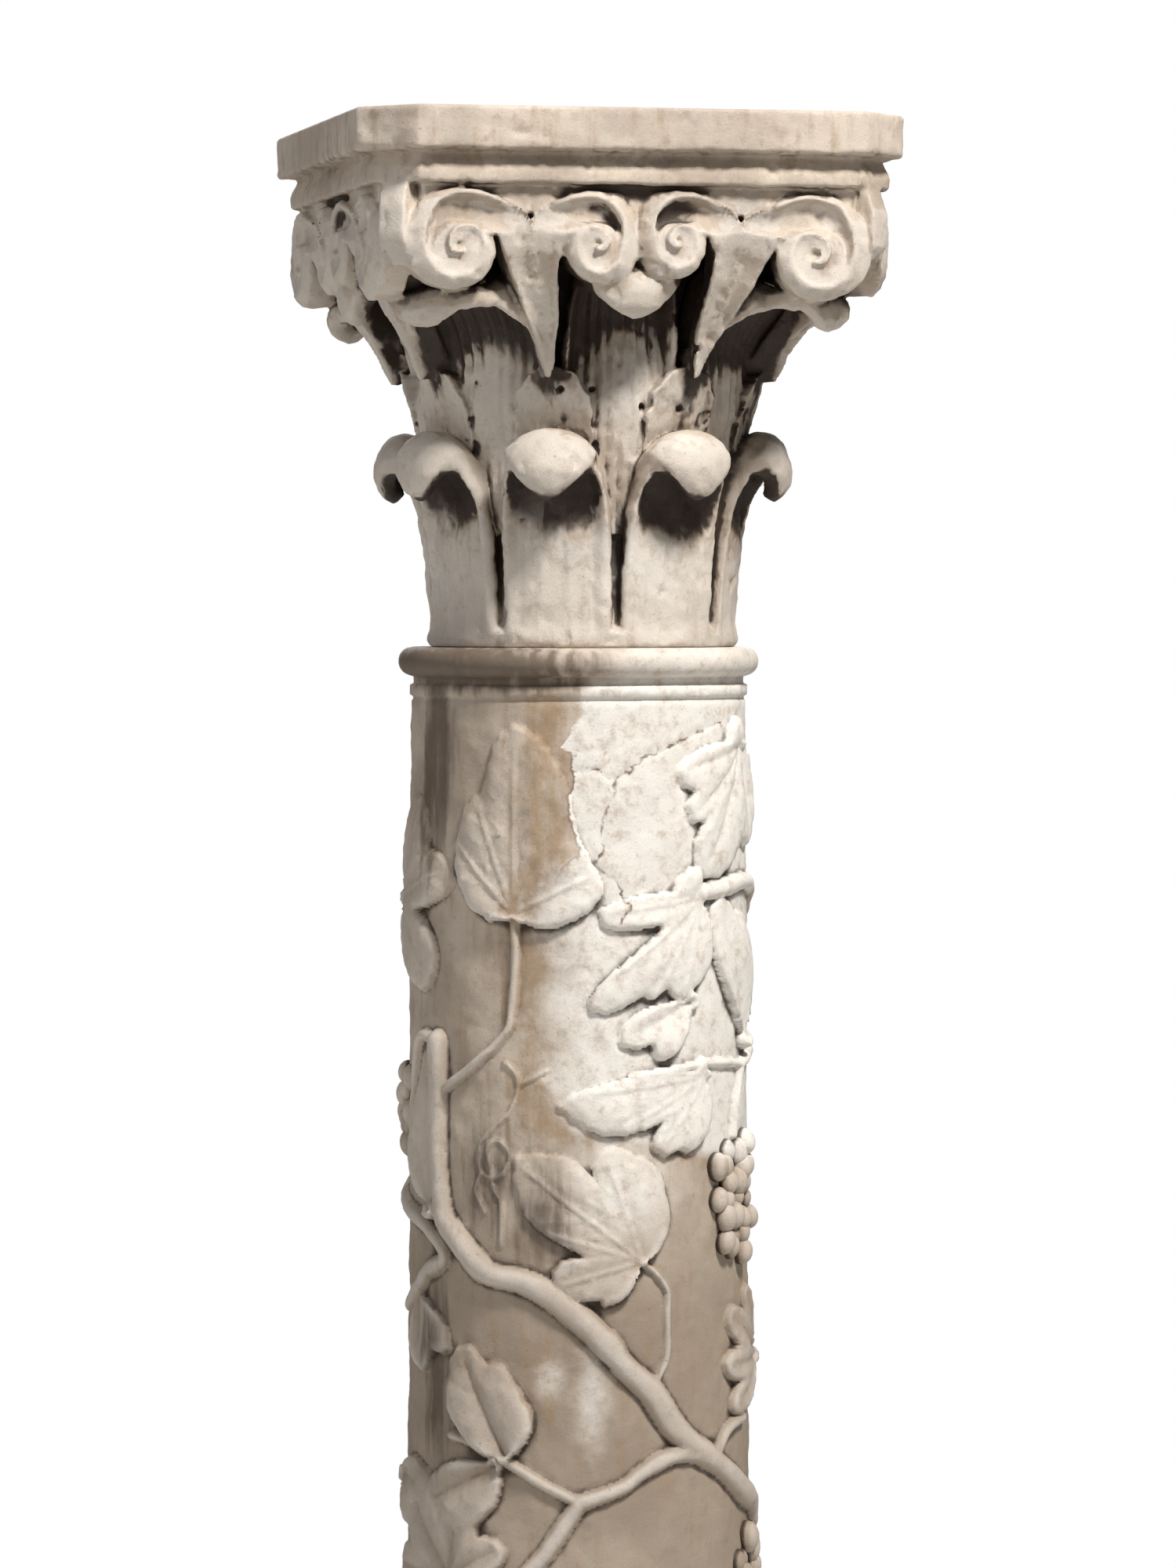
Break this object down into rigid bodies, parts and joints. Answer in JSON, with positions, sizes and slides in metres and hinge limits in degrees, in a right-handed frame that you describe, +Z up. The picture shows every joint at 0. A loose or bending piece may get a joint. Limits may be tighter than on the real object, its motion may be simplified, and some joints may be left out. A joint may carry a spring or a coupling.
{
  "type": "carved marble column",
  "caption": "Round stone column with a moulded base, a shaft carved with a vine in relief, and a leafy scrolled capital under an eight-sided slab.",
  "frame": {"origin": "centre of the base's underside, on the floor", "axes": "+Z up the column; -Y is the way the capital's front face looks, +X to that face's right"},
  "size_m": [0.488, 0.488, 2.4266],
  "materials": {
    "base": "matte",
    "shaft": "matte",
    "capital": "matte"
  },
  "bodies": {
    "root": {"base": "base", "shaft": "shaft", "capital": "capital"}
  },
  "joints": []
}
